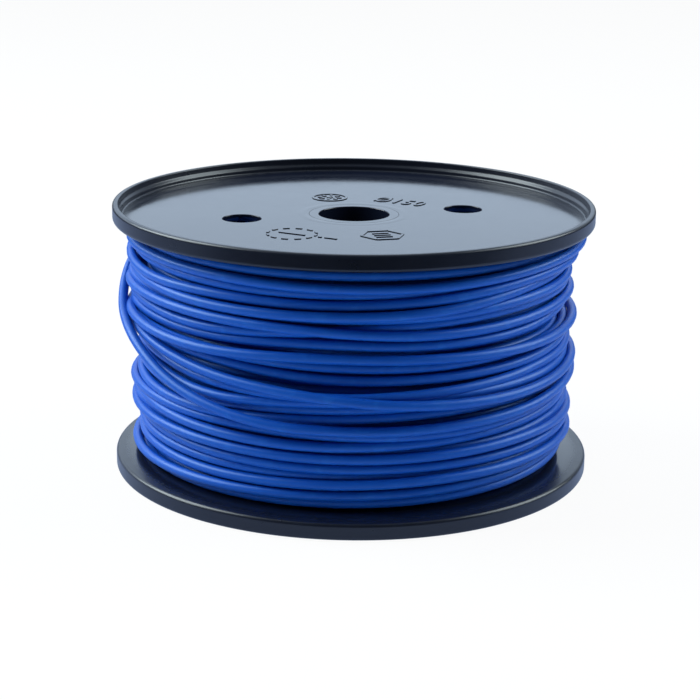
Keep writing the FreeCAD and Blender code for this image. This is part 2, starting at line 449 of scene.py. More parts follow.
def keep_edges_crisp(mesh: bpy.types.Mesh, limit: float = 32.0) -> None:
    """Shades a mesh smooth, with sharp edges past a limit and round every level face."""
    mesh.polygons.foreach_set("use_smooth", [True] * len(mesh.polygons))
    mesh.set_sharp_from_angle(angle=math.radians(limit))
    shape = bmesh.new()
    shape.from_mesh(mesh)
    for edge in shape.edges:
        level = [abs(face.normal.z) > LEVEL for face in edge.link_faces]
        if len(level) == 2 and level[0] != level[1]:
            edge.smooth = False
    shape.to_mesh(mesh)
    shape.free()


def rounded(corners: Sequence[Triple], steps: int = 6) -> list[Vector]:
    """An outline through (radius, height, rounding) corners, each rounded as it says."""
    outline = []
    count = len(corners)
    for i, (radius, height, rounding) in enumerate(corners):
        here = Vector((radius, height))
        if rounding == 0.0:
            outline.append(here)
            continue
        back = (Vector(corners[i - 1][:2]) - here).normalized()
        on = (Vector(corners[(i + 1) % count][:2]) - here).normalized()
        half = back.angle(on) / 2.0
        middle = here + (back + on).normalized() * (rounding / math.sin(half))
        first = here + back * (rounding / math.tan(half)) - middle
        last = here + on * (rounding / math.tan(half)) - middle
        begin = math.atan2(first.y, first.x)
        sweep = math.remainder(math.atan2(last.y, last.x) - begin, FULL_TURN)
        for step in range(steps + 1):
            angle = begin + sweep * step / steps
            outline.append(middle + rounding * Vector((math.cos(angle), math.sin(angle))))
    return outline


def with_support(outline: Sequence[Vector], inset: float = 0.15 * MM) -> list[Vector]:
    """The outline with a point just inside each end of its long straight runs."""
    supported = []
    for here, after in zip(outline, list(outline[1:]) + [outline[0]]):
        supported.append(here)
        run = after - here
        if run.length > LONG_RUN * inset:
            supported.append(here + run.normalized() * inset)
            supported.append(after - run.normalized() * inset)
    return supported


def turned_shell(outline: Sequence[Vector], segments: int, closed: bool = True) -> bmesh.types.BMesh:
    """The shell that an outline of (radius, height) points sweeps round the Z axis.

    Args:
        outline: the points, in order.
        segments: how many steps there are in a full turn.
        closed: whether the last point joins the first; if not, both ends are capped.

    Returns:
        The shell, with its faces pointing outwards.
    """
    shell = bmesh.new()
    rings = []
    for radius, height in outline:
        ring = []
        for i in range(segments):
            ring.append(shell.verts.new(at(360.0 * i / segments, radius, height)))
        rings.append(ring)
    following = rings[1:] + rings[:1] if closed else rings[1:]
    for ring, after in zip(rings, following):
        for i in range(segments):
            j = (i + 1) % segments
            shell.faces.new((ring[i], ring[j], after[j], after[i]))
    if not closed:
        shell.faces.new(rings[0])
        shell.faces.new(rings[-1])
    bmesh.ops.recalc_face_normals(shell, faces=shell.faces)
    return shell


def ring_of_blocks() -> PatternTree:
    """A tree that stands equal blocks round a circle, each facing out from its middle."""
    tree = PatternTree("ring_of_blocks", {
        "Count": "NodeSocketInt",
        "Circle Radius": "NodeSocketFloat",
        "First Angle": "NodeSocketFloat",
        "Block Size": "NodeSocketVector",
        "Material": "NodeSocketMaterial",
    })
    index = tree.out("GeometryNodeInputIndex", {}, {})
    angle = tree.given("First Angle") + index * FULL_TURN / tree.given("Count")
    radius = tree.given("Circle Radius")
    across = radius * angle.maths("COSINE", angle)
    up = radius * angle.maths("SINE", angle)
    spot = tree.out("ShaderNodeCombineXYZ", {}, {0: across, 1: up})
    facing = tree.out("ShaderNodeCombineXYZ", {}, {2: angle})
    points = tree.out("GeometryNodePoints", {}, {"Count": tree.given("Count"), "Position": spot})
    block = tree.out("GeometryNodeMeshCube", {}, {"Size": tree.given("Block Size")})
    stood = {"Points": points, "Instance": block, "Rotation": facing}
    tree.close(tree.out("GeometryNodeInstanceOnPoints", {}, stood))
    return tree


def joined(name: str, parts: Sequence[Object]) -> Object:
    """One mesh object from several, each of which is removed."""
    shape = bmesh.new()
    for part in parts:
        shape.from_mesh(part.data)
    finish = parts[0].data.materials[0]
    for part in parts:
        bpy.data.objects.remove(part)
    for face in shape.faces:
        face.material_index = 0
    return mesh_object(name, shape, finish)


# --- flanges and tubes --------------------------------------------------------------


# Where the dial, the pips, the tag and the figures stand on the disc, in millimetres.
MARK_PLACES = ((-25.6, -24.3), (-1.2, 26.0), (0.3, -31.6), (19.4, 15.1))


class End(Enum):
    """Which end of the spool a flange closes."""

    UPPER = "top_flange"
    LOWER = "bottom_flange"


@dataclass
class FlangeMoulding:
    """One flange: a raised rim round a dished disc, with the hub's collar and ribs inside."""

    finish: Material
    radius: float = 75.0 * MM
    rim_height: float = 5.0 * MM
    rim_wall: float = 2.6 * MM
    rim_land: float = 1.8 * MM
    ledge_depth: float = 2.3 * MM
    land_round: float = 0.35 * MM
    edge_round: float = 0.85 * MM
    ledge_round: float = 0.9 * MM
    ledge_slope: float = 0.45 * MM
    back_round: float = 1.15 * MM
    back_slope: float = 12.0 * MM
    dish_depth: float = 4.1 * MM
    dish_round: float = 0.6 * MM
    disc_thickness: float = 2.3 * MM
    seat_radius: float = 14.05 * MM
    seat_ease: float = 0.08 * MM
    collar_wall: float = 3.0 * MM
    spigot_radius: float = 23.9 * MM
    spigot_wall: float = 2.0 * MM
    hub_depth: float = 6.0 * MM
    rib_count: int = 6
    rib_thickness: float = 1.6 * MM
    rib_depth: float = 4.0 * MM
    drive_radius: float = 6.0 * MM
    drive_circle: float = 35.75 * MM
    drive_ease: float = 0.25 * MM
    mark_rise: float = 0.22 * MM
    figures_width: float = 17.0 * MM
    figures_height: float = 6.6 * MM
    figures_spacing: float = 1.15
    figures_slant: float = -42.4
    dial_slant: float = -41.5
    hub_ease: float = 0.2 * MM
    segments: int = 256

    def build(self, end: End) -> Object:
        """Builds the moulding at one end of the spool.

        Args:
            end: which end it closes.

        Returns:
            The finished piece.
        """
        body = self.body()
        parts = [body, self.hub_ribs(), *self.marks()]
        piece = joined(end.value + "_moulding", parts)
        if end is End.LOWER:
            middle = Matrix.Translation((0.0, 0.0, SPOOL_HEIGHT / 2.0))
            over = middle @ Matrix.Rotation(math.pi, 4, "X") @ middle.inverted()
            piece.data.transform(over)
        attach(piece, BODY)
        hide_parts(end.value)
        LOG.info("built %s: %d faces", piece.name, len(piece.data.polygons))
        return piece

    def height_at(self, depth: float) -> float:
        """The height of a level so far below the rim's land."""
        return SPOOL_HEIGHT - depth

    def body(self) -> Object:
        """The turned shape, with the drive holes cut through it."""
        inner_face = self.dish_depth + self.disc_thickness
        hub_end = inner_face + self.hub_depth
        wall = self.radius - self.rim_wall
        land = self.radius - self.rim_land
        collar = self.seat_radius + self.collar_wall
        spigot = self.spigot_radius - self.spigot_wall
        corners = (
            (self.seat_radius, self.dish_depth, self.seat_ease),
            (wall, self.dish_depth, self.dish_round),
            (wall, self.ledge_depth + self.ledge_slope, self.ledge_round),
            (land, self.ledge_depth - self.ledge_slope, self.ledge_round),
            (land, 0.0, self.land_round),
            (self.radius, 0.0, self.edge_round),
            (self.radius, self.rim_height, self.back_round),
            (self.radius - self.back_slope, inner_face, 2.0 * self.back_round),
            (self.spigot_radius, inner_face, 0.0),
            (self.spigot_radius, hub_end, self.hub_ease),
            (spigot, hub_end, self.hub_ease),
            (spigot, inner_face, 0.0),
            (collar, inner_face, 0.0),
            (collar, hub_end, self.hub_ease),
            (self.seat_radius, hub_end, self.hub_ease),
        )
        standing = [(r, self.height_at(depth), ease) for r, depth, ease in corners]
        shell = turned_shell(with_support(rounded(standing)), self.segments)
        body = mesh_object("flange_body", shell, self.finish)
        for side in (-1.0, 1.0):
            body = self.drilled(body, side * self.drive_circle)
        return body

    def drilled(self, body: Object, place: float) -> Object:
        """The body with one drive hole through its disc, eased at both faces."""
        high = self.height_at(self.dish_depth)
        low = high - self.disc_thickness
        flare = self.drive_radius + self.drive_ease
        outline = [Vector((flare, high + MM))]
        for face, inwards, steps in ((high, -1.0, range(5)), (low, 1.0, range(4, -1, -1))):
            for step in steps:
                slope = math.pi / 2.0 * step / 4.0
                drop = self.drive_ease * (1.0 - math.cos(slope))
                narrow = flare - self.drive_ease * math.sin(slope)
                outline.append(Vector((narrow, face + inwards * drop)))
        outline.append(Vector((flare, low - MM)))
        cutter = mesh_object("drive_hole_cutter", turned_shell(outline, 64, closed=False), self.finish)
        cutter.data.transform(Matrix.Translation((place, 0.0, 0.0)))
        cut = body.modifiers.new("drive_hole", "BOOLEAN")
        cut.operation = "DIFFERENCE"
        cut.solver = "EXACT"
        cut.object = cutter
        drilled = baked_copy(body, "flange_body_drilled")
        bpy.data.objects.remove(body)
        bpy.data.objects.remove(cutter)
        return drilled

    def hub_ribs(self) -> Object:
        """The ribs that tie the hub's collar to its spigot ring."""
        inner = self.seat_radius + self.collar_wall / 2.0
        outer = self.spigot_radius - self.spigot_wall / 2.0
        bedded = self.disc_thickness / 2.0
        ribs = ring_of_blocks().bake("hub_ribs", {
            "Count": self.rib_count,
            "Circle Radius": (inner + outer) / 2.0,
            "First Angle": 0.0,
            "Block Size": (outer - inner, self.rib_thickness, self.rib_depth + bedded),
            "Material": self.finish,
        })
        inner_face = self.dish_depth + self.disc_thickness
        middle = self.height_at(inner_face - bedded / 2.0 + self.rib_depth / 2.0)
        ribs.data.transform(Matrix.Translation((0.0, 0.0, middle)))
        return ribs

    def marks(self) -> list[Object]:
        """The moulder's plain marks, raised on the disc."""
        dial, pips, tag, figures = (Vector(place) * MM for place in MARK_PLACES)
        return [
            *self.date_dial(dial),
            *self.pip_ring(pips),
            *self.blank_tag(tag),
            self.size_mark(figures),
        ]

    def raised(self, count: int, radius: float, turn: float, size: Pair, place: Vector) -> Object:
        """A ring of raised strokes.

        Args:
            count: how many strokes there are.
            radius: the radius of their circle.
            turn: the angle of the first, in degrees.
            size: each stroke's length out from the middle, and its length round the circle.
            place: the circle's middle on the disc.

        Returns:
            The strokes as one object.
        """
        strokes = ring_of_blocks().bake("raised_strokes", {
            "Count": count,
            "Circle Radius": radius,
            "First Angle": math.radians(turn),
            "Block Size": (size[0], size[1], 2.0 * self.mark_rise),
            "Material": self.finish,
        })
        face = self.height_at(self.dish_depth)
        strokes.data.transform(Matrix.Translation((place.x, place.y, face)))
        return strokes

    def date_dial(self, place: Vector) -> list[Object]:
        """Twelve strokes in a circle with a pointer across it and two strokes outside."""
        slant = self.dial_slant
        along = Matrix.Rotation(math.radians(slant), 2) @ Vector((1.0, 0.0))
        stroke = 0.65 * MM
        dashes = self.raised(12, 7.4 * MM, 0.0, (stroke, 2.0 * MM), place)
        pointer = self.raised(1, 0.0, slant, (8.8 * MM, stroke), place)
        near = self.raised(1, 0.0, slant, (1.1 * MM, stroke), place + along * 9.4 * MM)
        outside = self.raised(1, 0.0, slant, (4.0 * MM, stroke), place + along * 13.0 * MM)
        return [dashes, pointer, near, outside]

    def pip_ring(self, place: Vector) -> list[Object]:
        """Two close rings of short strokes with a square pip in the middle."""
        outer = self.raised(16, 5.4 * MM, 0.0, (0.7 * MM, 2.1 * MM), place)
        inner = self.raised(8, 3.1 * MM, 22.5, (1.6 * MM, 0.8 * MM), place)
        pip = self.raised(1, 0.0, 45.0, (1.5 * MM, 1.5 * MM), place)
        return [outer, inner, pip]

    def blank_tag(self, place: Vector) -> list[Object]:
        """A six-sided frame with three bars across it."""
        parts = [self.raised(6, 5.6 * MM, 90.0, (0.7 * MM, 6.5 * MM), place)]
        for step in (-1.0, 0.0, 1.0):
            spot = place + Vector((0.0, 2.3 * step)) * MM
            parts.append(self.raised(1, 0.0, 0.0, (5.0 * MM, 0.7 * MM), spot))
        return parts

    def size_mark(self, place: Vector) -> Object:
        """The flange's own diameter in millimetres, as plain raised figures.

        Args:
            place: the middle of the figures on the disc.

        Returns:
            The figures.
        """
        curve = bpy.data.curves.new("size_figures", "FONT")
        curve.body = "Ø150"
        curve.size = 1.0
        curve.space_character = self.figures_spacing
        curve.extrude = self.mark_rise
        curve.materials.append(self.finish)
        figures = placed("size_figures", curve)
        bpy.context.view_layer.update()
        mark = baked_copy(figures, "size_mark")
        bpy.data.objects.remove(figures)
        spots = np.array([vertex.co for vertex in mark.data.vertices])
        low = spots.min(axis=0)
        high = spots.max(axis=0)
        middle = (low + high) / 2.0
        width = self.figures_width / (high[0] - low[0])
        height = self.figures_height / (high[1] - low[1])
        fit = Matrix.Diagonal((width, height, 1.0, 1.0))
        centre = Matrix.Translation((-middle[0], -middle[1], 0.0))
        turn = Matrix.Rotation(math.radians(self.figures_slant), 4, "Z")
        face = self.height_at(self.dish_depth)
        mark.data.transform(Matrix.Translation((place.x, place.y, face)) @ turn @ fit @ centre)
        return mark


@dataclass
class ArborTube:
    """The centre tube, flush with both discs, that the spool turns on."""

    finish: Material
    bore: float = 11.0 * MM
    wall: float = 3.0 * MM
    ease: float = 0.3 * MM
    seat_ease: float = 0.08 * MM
    dish_depth: float = 4.1 * MM
    segments: int = 160

    def build(self) -> Object:
        """Builds the tube between the two discs."""
        low = self.dish_depth
        high = SPOOL_HEIGHT - self.dish_depth
        outer = self.bore + self.wall
        corners = (
            (self.bore, low, self.ease),
            (outer, low, self.seat_ease),
            (outer, high, self.seat_ease),
            (self.bore, high, self.ease),
        )
        shell = turned_shell(with_support(rounded(corners)), self.segments)
        piece = mesh_object("arbor_tube_sleeve", shell, self.finish)
        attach(piece, BODY)
        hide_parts("arbor_tube")
        LOG.info("built %s: %d faces", piece.name, len(piece.data.polygons))
        return piece


# --- wire ---------------------------------------------------------------------------


class Nest:
    """The turns laid so far: the radius and height of each wire at every bearing."""

    def __init__(self, diameter: float, stations: int) -> None:
        """Starts with nothing laid.

        Args:
            diameter: the wire's diameter.
            stations: how many bearings there are in a full turn.
        """
        self.diameter = diameter
        self.stations = stations
        self.laid: list[list[Pair]] = [[] for _ in range(stations)]

    def lay(self, first: int, radii: Iterable[float], heights: Iterable[float]) -> None:
        """Records a stretch of wire that begins at a station."""
        for i, (radius, height) in enumerate(zip(radii, heights)):
            self.laid[(first + i) % self.stations].append((radius, height))

    def clear(self) -> None:
        """Forgets every turn laid so far."""
        self.laid = [[] for _ in range(self.stations)]

    def blocked(self, station: int, height: float) -> list[Pair]:
        """The spans of radius that wires already laid keep another wire's centre out of."""
        spans = []
        for radius, other in self.laid[station % self.stations]:
            apart = abs(height - other)
            if apart < self.diameter:
                reach = math.sqrt(self.diameter ** 2 - apart ** 2)
                spans.append((radius - reach, radius + reach))
        return sorted(spans)

    def lowest(self, station: int, height: float, floor: float) -> float:
        """The lowest radius at or above the floor where a wire fits."""
        radius = floor
        for low, high in self.blocked(station, height):
            if low < radius < high:
                radius = high
        return radius

    def topmost(self, station: int, height: float, floor: float) -> float:
        """The radius at which a wire lies on everything below it."""
        spans = self.blocked(station, height)
        return max([floor, *(high for _, high in spans)])


def drawn_taut(radii: np.ndarray, lift: int, ease: int) -> np.ndarray:
    """The radii of a taut wire over the places that it rests on.

    Args:
        radii: the resting radius at each station.
        lift: how many stations to each side a high place holds the wire up.
        ease: how many stations to each side the wire's stiffness evens it out.

    Returns:
        The evened radii.
    """
    padded = np.pad(radii, lift, mode="edge")
    held = np.max([padded[i:i + len(radii)] for i in range(2 * lift + 1)], axis=0)
    padded = np.pad(held, ease, mode="edge")
    return np.convolve(padded, np.ones(2 * ease + 1) / (2 * ease + 1), mode="valid")


def smooth_through(places: np.ndarray, values: np.ndarray, wanted: np.ndarray) -> np.ndarray:
    """A smooth line through chosen values, read at the wanted places."""
    slopes = np.gradient(values, places)
    span = np.clip(np.searchsorted(places, wanted, side="right") - 1, 0, len(places) - 2)
    width = places[span + 1] - places[span]
    share = np.clip((wanted - places[span]) / width, 0.0, 1.0)
    square = share * share
    cube = square * share
    line = (2.0 * cube - 3.0 * square + 1.0) * values[span]
    line += (cube - 2.0 * square + share) * width * slopes[span]
    line += (3.0 * square - 2.0 * cube) * values[span + 1]
    line += (cube - square) * width * slopes[span + 1]
    return line


def spline_length(points: Sequence[Vector]) -> float:
    """The length of the smooth line that those control points draw."""
    total = 0.0
    last = points[0]
    for before, here, after in zip(points, points[1:], points[2:]):
        for share in (0.25, 0.5, 0.75, 1.0):
            blend = (1.0 - share) ** 2 * before + (1.0 + 2.0 * share - 2.0 * share ** 2) * here
            spot = 0.5 * (blend + share ** 2 * after)
            total += (spot - last).length
            last = spot
    return total + (points[-1] - last).length


@dataclass
class WireRun:
    """A length of wire, drawn as one smooth spline through its control points."""

    name: str
    points: list[Vector]
    finish: Material
    stands_for: tuple[str, ...]
    far_end: str = "object"
    lay: str = "coiled"
    with_pieces: list[Object] = field(default_factory=list)
    sides: int = 16
    steps: int = 2
    diameter: float = 3.0 * MM

    def build(self) -> Object:
        curve = bpy.data.curves.new(self.name, "CURVE")
        curve.dimensions = "3D"
        curve.resolution_u = self.steps
        curve.bevel_depth = self.diameter / 2.0
        curve.bevel_resolution = (self.sides - 4) // 2
        curve.use_fill_caps = True
        curve.materials.append(self.finish)
        spline = curve.splines.new("NURBS")
        spline.points.add(len(self.points) - 1)
        for slot, point in zip(spline.points, self.points):
            slot.co = (*point, 1.0)
        spline.order_u = 3
        spline.use_endpoint_u = True
        spline.resolution_u = self.steps
        spline.use_smooth = True
        wire = placed(self.name, curve)
        length = spline_length(self.points)
        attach(wire, BODY)
        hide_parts(*self.stands_for)
        LOG.info("wound %s: %.2f m, %d points", self.name, length, len(self.points))
        return wire


# Each outer turn, in the wire's own order: how many turns it lies over, and its heights in
# millimetres where it passes the bearings below.
OUTER_BEARINGS = (165.0, 185.0, 215.0, 245.0, 275.0, 305.0, 325.0)
OUTER_TURNS = (
    (0, (7.9, 7.9, 7.9, 8.1, 8.6, 9.2, 9.6)),
    (1, (9.3, 9.5, 10.0, 10.7, 11.4, 12.1, 12.6)),
    (1, (13.0, 13.2, 13.2, 14.2, 15.2, 15.3, 15.5)),
    (0, (16.9, 16.8, 16.5, 16.4, 16.0, 15.9, 16.4)),
    (0, (20.5, 20.2, 19.4, 19.0, 18.9, 18.6, 18.9)),
    (1, (23.3, 23.2, 22.8, 22.2, 22.3, 22.7, 22.4)),
    (0, (24.7, 24.6, 24.4, 24.0, 23.4, 23.2, 23.7)),
    (0, (27.6, 27.4, 26.3, 25.7, 26.2, 26.6, 27.0)),
    (0, (29.7, 29.8, 29.2, 28.8, 28.7, 29.5, 30.3)),
    (0, (32.8, 32.4, 31.9, 33.2, 34.5, 34.6, 34.2)),
    (0, (36.8, 36.4, 35.0, 36.3, 37.4, 37.3, 37.2)),
    (0, (41.3, 40.6, 37.2, 38.9, 39.9, 40.0, 40.2)),
    (2, (49.3, 48.2, 44.2, 41.6, 38.8, 38.0, 38.6)),
    (0, (44.6, 43.7, 41.1, 40.8, 41.5, 42.5, 43.2)),
    (0, (47.8, 48.2, 47.8, 45.5, 44.9, 45.4, 46.2)),
    (0, (51.0, 50.9, 50.6, 49.2, 48.6, 49.4, 49.6)),
    (1, (52.6, 52.2, 51.2, 52.0, 51.2, 50.4, 50.6)),
    (0, (54.1, 54.0, 54.4, 55.7, 54.8, 54.9, 56.4)),
    (1, (60.2, 60.7, 60.8, 60.2, 58.2, 58.2, 59.0)),
    (0, (57.2, 57.1, 57.1, 59.3, 61.4, 62.5, 62.4)),
    (0, (61.8, 62.0, 62.0, 63.2, 63.8, 65.0, 65.2)),
    (0, (64.8, 64.6, 64.2, 64.4, 65.5, 68.2, 68.2)),
    (2, (69.6, 67.3, 67.4, 67.1, 68.5, 70.7, 71.0)),
    (0, (72.1, 71.0, 70.5, 70.4, 70.8, 72.6, 73.0)),
    (1, (73.8, 73.5, 73.2, 72.6, 72.5, 73.8, 74.4)),
    (0, (76.0, 76.0, 76.0, 75.9, 75.9, 75.7, 75.7)),
)
# Where turns cross one another, in degrees; on the side away from there they lie in order.
CROSSED_FROM = 158.0
CROSSED_TO = 350.0
# Where one outer turn is counted as the next, and the last stretch, which lies under all.
TURN_BEGINS = 65.0
UNDER_ALL = 20.0
# The way down from the last turn to the slack one: degrees before it, height in millimetres.
WAY_DOWN = ((100.0, 74.8), (40.0, 71.2))

# (degrees, radius, height) of the control points of the stretches that aren't wound.
LOOSE_TURN = (
    (140.0, 0.0663, 0.0695),
    (147.0, 0.0668, 0.0684),
    (153.0, 0.0691, 0.0660),
    (158.0, 0.0714, 0.0622),
    (163.0, 0.0721, 0.0580),
    (169.0, 0.0722, 0.0542),
    (177.0, 0.0724, 0.0509),
    (187.5, 0.0724, 0.0472),
    (197.0, 0.0719, 0.0426),
    (206.5, 0.0715, 0.0384),
    (217.0, 0.0713, 0.0352),
    (228.0, 0.0712, 0.0328),
    (239.0, 0.0704, 0.0314),
)
END_TAIL = (
    (38.0, 0.0702, 0.0360),
    (49.0, 0.0711, 0.0372),
    (60.0, 0.0712, 0.0388),
    (71.0, 0.0712, 0.0406),
    (82.0, 0.0712, 0.0420),
    (93.0, 0.0714, 0.0428),
)
START_TAIL = (
    (128.0, 0.0275, 0.0650),
    (109.0, 0.0263, 0.0650),
    (91.0, 0.0246, 0.0650),
    (73.0, 0.0229, 0.0650),
    (53.0, 0.0214, 0.0652),
    (31.0, 0.0206, 0.0655),
    (9.0, 0.0203, 0.0658),
    (-13.0, 0.0202, 0.0660),
    (-33.0, 0.0206, 0.0660),
)
# (degrees, height in millimetres) of the slack turn's lap round the winding.
LAP = (
    (239.0, 31.4), (255.0, 30.9), (275.0, 31.0), (285.0, 31.3), (295.0, 31.6),
    (305.0, 31.9), (315.0, 32.6), (340.0, 33.8), (370.0, 35.2), (398.0, 36.0),
)
LAP_BEGIN = 247.5
LAP_END = 391.0


@dataclass
class Winding:
    """The wire wound on the barrel, layer on layer, and its loose outer turn."""

    finish: Material
    diameter: float = 3.0 * MM
    barrel_radius: float = 26.0 * MM
    layer_rise: float = 2.96 * MM
    layer_count: int = 14
    turns: int = 22
    lowest: float = 7.9 * MM
    highest: float = 76.1 * MM
    start_angle: float = 128.0
    start_height: float = 65.0 * MM
    stations: int = 48
    inner_points: int = 12
    flat_share: float = 0.015
    climb_share: float = 1.0 / 6.0
    drift: float = 0.25 * MM
    drift_stations: int = 16
    wander: float = 0.35 * MM
    gap_shares: Pair = (0.35, 0.65)
    bedding: float = 0.5 * MM
    climb_span: Pair = (15.0, 70.0)
    swell_rise: float = 2.1 * MM
    swell_angle: float = 165.0
    swell_width: float = 17.0
    swell_height: float = 61.0 * MM
    swell_reach: float = 9.0 * MM
    seed: int = 7

    @property
    def step(self) -> float:
        """The degrees from one station to the next."""
        return 360.0 / self.stations

    def build(self) -> list[Object]:
        """Winds every layer from the barrel outwards, then the loose turn and the tails."""
        nodes = frame["nodes"]
        wires = [self.tail("wire_start", START_TAIL, "wire_start_tail", nodes["start_conductor"])]
        for number in range(1, self.layer_count - 1):
            wires.append(self.inner_layer(number))
        nest = Nest(self.diameter, self.stations)
        wires.append(self.bedding_layer(nest))
        wires.append(self.outer_layer(nest))
        wires.append(self.loose_wire(nest, nodes["end_conductor"]))
        return wires

    def layer_radius(self, number: int) -> float:
        """The radius of the wire's centre in one layer, counted from the barrel."""
        return self.barrel_radius + self.diameter / 2.0 + (number - 1) * self.layer_rise

    def controls(self, degrees: Iterable[float], radii: Iterable[float], heights: Iterable[float],
                 points_per_turn: int) -> list[Vector]:
        """Control points that stand a little proud, so that the line runs at those radii."""
        proud = 1.0 / math.cos(math.pi / points_per_turn)
        return [at(d, r * proud, z) for d, r, z in zip(degrees, radii, heights)]

    def traverse(self, number: int, points_per_turn: int) -> tuple[np.ndarray, np.ndarray, np.ndarray]:
        """The degrees, radii and heights of one even layer, which climbs to the next at its end."""
        downwards = number % 2 == 1
        begin = self.highest if downwards else self.lowest
        finish = self.lowest if downwards else self.highest
        turns = self.turns
        if number == 1:
            begin = self.start_height
            turns = round(self.turns * (begin - finish) / (self.highest - self.lowest))
        share = np.linspace(0.0, 1.0, turns * points_per_turn + 1)
        degrees = self.start_angle + 360.0 * turns * share
        settle = np.clip(share * (1.0 + 2.0 * self.flat_share) - self.flat_share, 0.0, 1.0)
        heights = begin + (finish - begin) * settle
        climb = np.clip((share - 1.0) * turns / self.climb_share + 1.0, 0.0, 1.0)
        radii = self.layer_radius(number) + self.layer_rise * climb * climb * (3.0 - 2.0 * climb)
        return degrees, radii, heights

    def inner_layer(self, number: int) -> Object:
        """One even layer under the ones that show."""
        degrees, radii, heights = self.traverse(number, self.inner_points)
        points = self.controls(degrees, radii, heights, self.inner_points)
        node = f"wire_layer_{number:02d}"
        run = WireRun(f"wound_layer_{number:02d}", points, self.finish, (node,), sides=10, steps=3)
        return run.build()

    def station_of(self, degrees: float) -> int:
        """The station nearest to a bearing."""
        return round(degrees * self.stations / 360.0)

    def bedding_layer(self, nest: Nest) -> Object:
        """The last even layer, glimpsed between the outer turns, a little uneven."""
        number = self.layer_count - 1
        degrees, radii, heights = self.traverse(number, self.stations)
        chance = np.random.default_rng(self.seed)
        marks = degrees[::self.drift_stations]
        drift = np.interp(degrees, marks, chance.normal(0.0, self.drift, len(marks)))
        heights = np.clip(heights + drift, self.lowest, self.highest)
        nest.lay(self.station_of(self.start_angle), radii[:-1], heights[:-1])
        points = self.controls(degrees, radii, heights, self.stations)
        run = WireRun("wound_layer_13", points, self.finish, ("wire_layer_13",), sides=12)
        return run.build()

    def outer_heights(self) -> tuple[np.ndarray, np.ndarray]:
        """The degrees and heights of the outer layer, station by station."""
        chance = np.random.default_rng(self.seed + 1)
        places = [self.start_angle]
        heights = [self.lowest]
        for turn, (_, row) in enumerate(OUTER_TURNS):
            places.extend(360.0 * turn + bearing for bearing in OUTER_BEARINGS)
            heights.extend(height * MM for height in row)
            if turn + 1 == len(OUTER_TURNS):
                break
            rise = (OUTER_TURNS[turn + 1][1][0] - row[-1]) * MM
            gap = 360.0 + OUTER_BEARINGS[0] - OUTER_BEARINGS[-1]
            for share in self.gap_shares:
                places.append(360.0 * turn + OUTER_BEARINGS[-1] + gap * share)
                heights.append(row[-1] * MM + rise * share + chance.uniform(-self.wander, self.wander))
        last = 360.0 * len(OUTER_TURNS) + LOOSE_TURN[0][0]
        places.extend([*(last - before for before, _ in WAY_DOWN), last])
        heights.extend([*(height * MM for _, height in WAY_DOWN), LOOSE_TURN[0][2]])
        first = self.station_of(self.start_angle) * self.step
        degrees = np.arange(first, last, self.step)
        levels = smooth_through(np.array(places), np.array(heights), degrees)
        return degrees, np.clip(levels, self.lowest, self.highest)

    def outer_layer(self, nest: Nest) -> Object:
        """The untidy outer layer, each turn lying on whatever is already there."""
        degrees, heights = self.outer_heights()
        floor = self.layer_radius(self.layer_count) - self.bedding
        turn = np.clip((degrees - TURN_BEGINS) // 360.0, 0, len(OUTER_TURNS) - 1).astype(int)
        over = np.array([OUTER_TURNS[number][0] for number in turn])
        over[(degrees % 360.0 < CROSSED_FROM) | (degrees % 360.0 > CROSSED_TO)] = 0
        over[degrees > 360.0 * len(OUTER_TURNS) - UNDER_ALL] = -1
        climb = (self.layer_radius(self.layer_count - 1), floor)
        floors = np.interp(degrees - degrees[0], self.climb_span, climb)
        radii = floors.copy()
        self.slip_under(nest)
        for rank in sorted(set(over)):
            for i in np.flatnonzero(over == rank):
                station = self.station_of(degrees[i])
                radii[i] = nest.lowest(station, heights[i], floors[i])
                nest.lay(station, [radii[i]], [heights[i]])
        radii = drawn_taut(radii, 1, 3) + self.swell(degrees, heights)
        nest.clear()
        nest.lay(self.station_of(degrees[0]), radii, heights)
        points = self.controls(degrees, radii, heights, self.stations)
        points.append(at(*LOOSE_TURN[0]))
        run = WireRun("wound_layer_14", points, self.finish, ("wire_layer_14",))
        return run.build()

    def swell(self, degrees: np.ndarray, heights: np.ndarray) -> np.ndarray:
        """How far the crossings below push the turns out on the loose turn's side."""
        aside = np.exp(-((degrees % 360.0 - self.swell_angle) / self.swell_width) ** 2)
        along = np.exp(-((heights - self.swell_height) / self.swell_reach) ** 2)
        return self.swell_rise * aside * along

    def slip_under(self, nest: Nest) -> None:
        """Lays the root of the loose turn first, so that its neighbours lie over it."""
        roots = LOOSE_TURN[:3]
        bearings = np.arange(roots[0][0], roots[-1][0], self.step)
        angles = [place[0] for place in roots]
        radii = np.interp(bearings, angles, [place[1] for place in roots])
        heights = np.interp(bearings, angles, [place[2] for place in roots])
        nest.lay(self.station_of(bearings[0]), radii, heights)

    def loose_wire(self, nest: Nest, conductor: Object) -> Object:
        """The slack turn, its lap round the winding and the free end."""
        points = [at(*place) for place in LOOSE_TURN]
        degrees = np.arange(LAP_BEGIN, LAP_END, self.step)
        places, levels = np.array(LAP).T
        heights = smooth_through(places, levels * MM, degrees)
        floor = self.layer_radius(self.layer_count)
        rests = [nest.topmost(self.station_of(d), z, floor) for d, z in zip(degrees, heights)]
        radii = drawn_taut(np.array(rests), 1, 3)
        points.extend(self.controls(degrees, radii, heights, self.stations))
        points.extend(at(*place) for place in END_TAIL)
        run = WireRun("wire_loose_end", points, self.finish, ("wire_loose_turn", "wire_end_tail"),
                      far_end="bare", lay="loose", with_pieces=[conductor], steps=4)
        return run.build()

